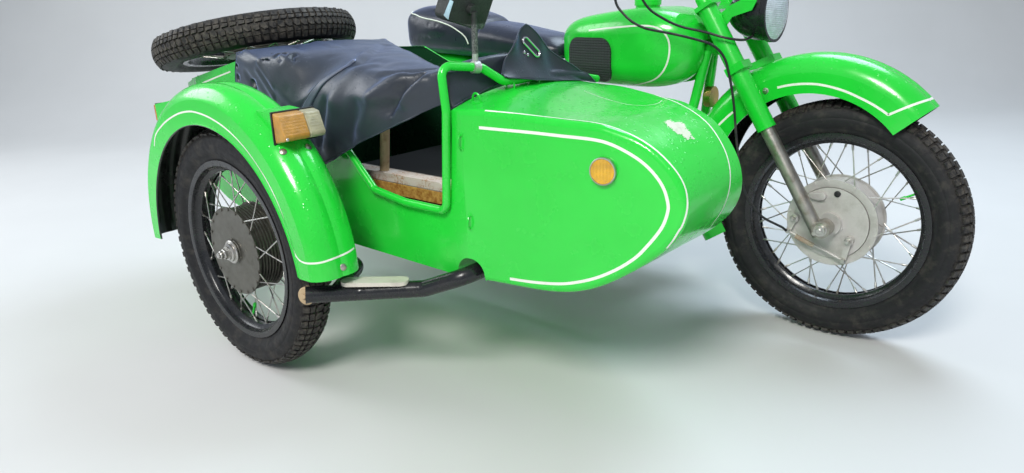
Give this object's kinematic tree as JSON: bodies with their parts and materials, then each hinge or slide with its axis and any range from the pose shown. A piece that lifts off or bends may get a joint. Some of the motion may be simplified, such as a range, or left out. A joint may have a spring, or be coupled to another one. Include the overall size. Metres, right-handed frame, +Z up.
{
  "type": "sidecar motorcycle",
  "caption": "Solo-saddle motorcycle with an opposed twin engine and a boat-shaped passenger sidecar on its right, a spoked spare wheel on the sidecar's trunk lid.",
  "frame": {"origin": "on the ground, under the middle of the whole outline in plan", "axes": "+X forwards along the direction of travel, +Y to the rider's left, +Z up"},
  "size_m": [2.4485, 1.6425, 1.1095],
  "materials": {
    "green_paint": "gloss, aged",
    "black_paint": "satin",
    "tyre_rubber": "matte",
    "bare_alloy": "cast, dull",
    "chrome": "polished",
    "steel": "plain",
    "rusty_steel": "rusted",
    "black_rubber": "matte",
    "black_seat": "coated cloth",
    "dark_cover": "coated cloth",
    "clear_glass": "clear",
    "orange_lens": "tinted",
    "mirror_back": "moulded",
    "cream_rubber": "ribbed",
    "gold_horn": "metallic"
  },
  "bodies": {
    "chassis": {"rear_fender": "green_paint", "sidecar_fender": "green_paint", "main_frame": "green_paint", "engine": "bare_alloy", "cylinders": "bare_alloy", "carburettors": "bare_alloy", "exhausts": "chrome", "fuel_tank": "green_paint", "knee_pads": "black_rubber", "dual_seat": "black_seat", "swingarm": "green_paint", "final_drive": "bare_alloy", "rear_axle": "steel", "dampers": "green_paint", "tail_lamp": "orange_lens", "plate_bracket": "green_paint", "horn": "gold_horn", "foot_pegs": "black_rubber", "side_boxes": "green_paint", "sidecar_body": "green_paint", "lid_hinges": "steel", "cockpit_rail": "green_paint", "seat_pan": "rusty_steel", "seat_post": "rusty_steel", "tonneau_cover": "dark_cover", "sidecar_frame": "black_paint", "sidecar_struts": "green_paint", "sidecar_arm": "green_paint", "step_tread": "cream_rubber", "marker_housings": "green_paint", "marker_lenses": "orange_lens", "side_reflector": "orange_lens", "sidecar_mirror": "mirror_back"},
    "steering": {"fork_sliders": "chrome", "fork_covers": "green_paint", "fork_yokes": "green_paint", "front_axle": "steel", "front_brake_plate": "bare_alloy", "headlamp": "black_paint", "headlamp_glass": "clear_glass", "handlebar": "chrome", "hand_grips": "black_rubber", "front_fender": "green_paint", "handlebar_cables": "black_rubber"},
    "front_wheel_set": {"front_tyre": "tyre_rubber", "front_wheel": "bare_alloy"},
    "rear_wheel_set": {"rear_tyre": "tyre_rubber", "rear_wheel": "bare_alloy"},
    "sidecar_wheel_set": {"sidecar_tyre": "tyre_rubber", "sidecar_wheel": "bare_alloy"},
    "trunk_lid_set": {"trunk_lid": "green_paint", "spare_carrier": "steel", "spare_tyre": "tyre_rubber", "spare_wheel": "bare_alloy"},
    "stand": {"centre_stand": "black_paint"}
  },
  "joints": [
    {"name": "steering", "type": "hinge", "parent": "chassis", "child": "steering", "pos_m": [0.5171, 0.395, 0.8286], "axis": [-0.515, 0, 0.8572], "range_deg": [-33, 33]},
    {"name": "front_wheel_spin", "type": "hinge", "parent": "steering", "child": "front_wheel_set", "pos_m": [0.8825, 0.395, 0.342], "axis": [0, 1, 0], "continuous": true},
    {"name": "rear_wheel_spin", "type": "hinge", "parent": "chassis", "child": "rear_wheel_set", "pos_m": [-0.6175, 0.395, 0.342], "axis": [0, 1, 0], "continuous": true},
    {"name": "sidecar_wheel_spin", "type": "hinge", "parent": "chassis", "child": "sidecar_wheel_set", "pos_m": [-0.3375, -0.745, 0.342], "axis": [0, 1, 0], "continuous": true},
    {"name": "trunk_lid", "type": "hinge", "parent": "chassis", "child": "trunk_lid_set", "pos_m": [-1.0545, -0.273, 0.754], "axis": [0, -1, 0], "range_deg": [0, 70]},
    {"name": "centre_stand", "type": "hinge", "parent": "chassis", "child": "stand", "pos_m": [-0.0175, 0.395, 0.225], "axis": [0, -1, 0], "range_deg": [0, 50]}
  ]
}
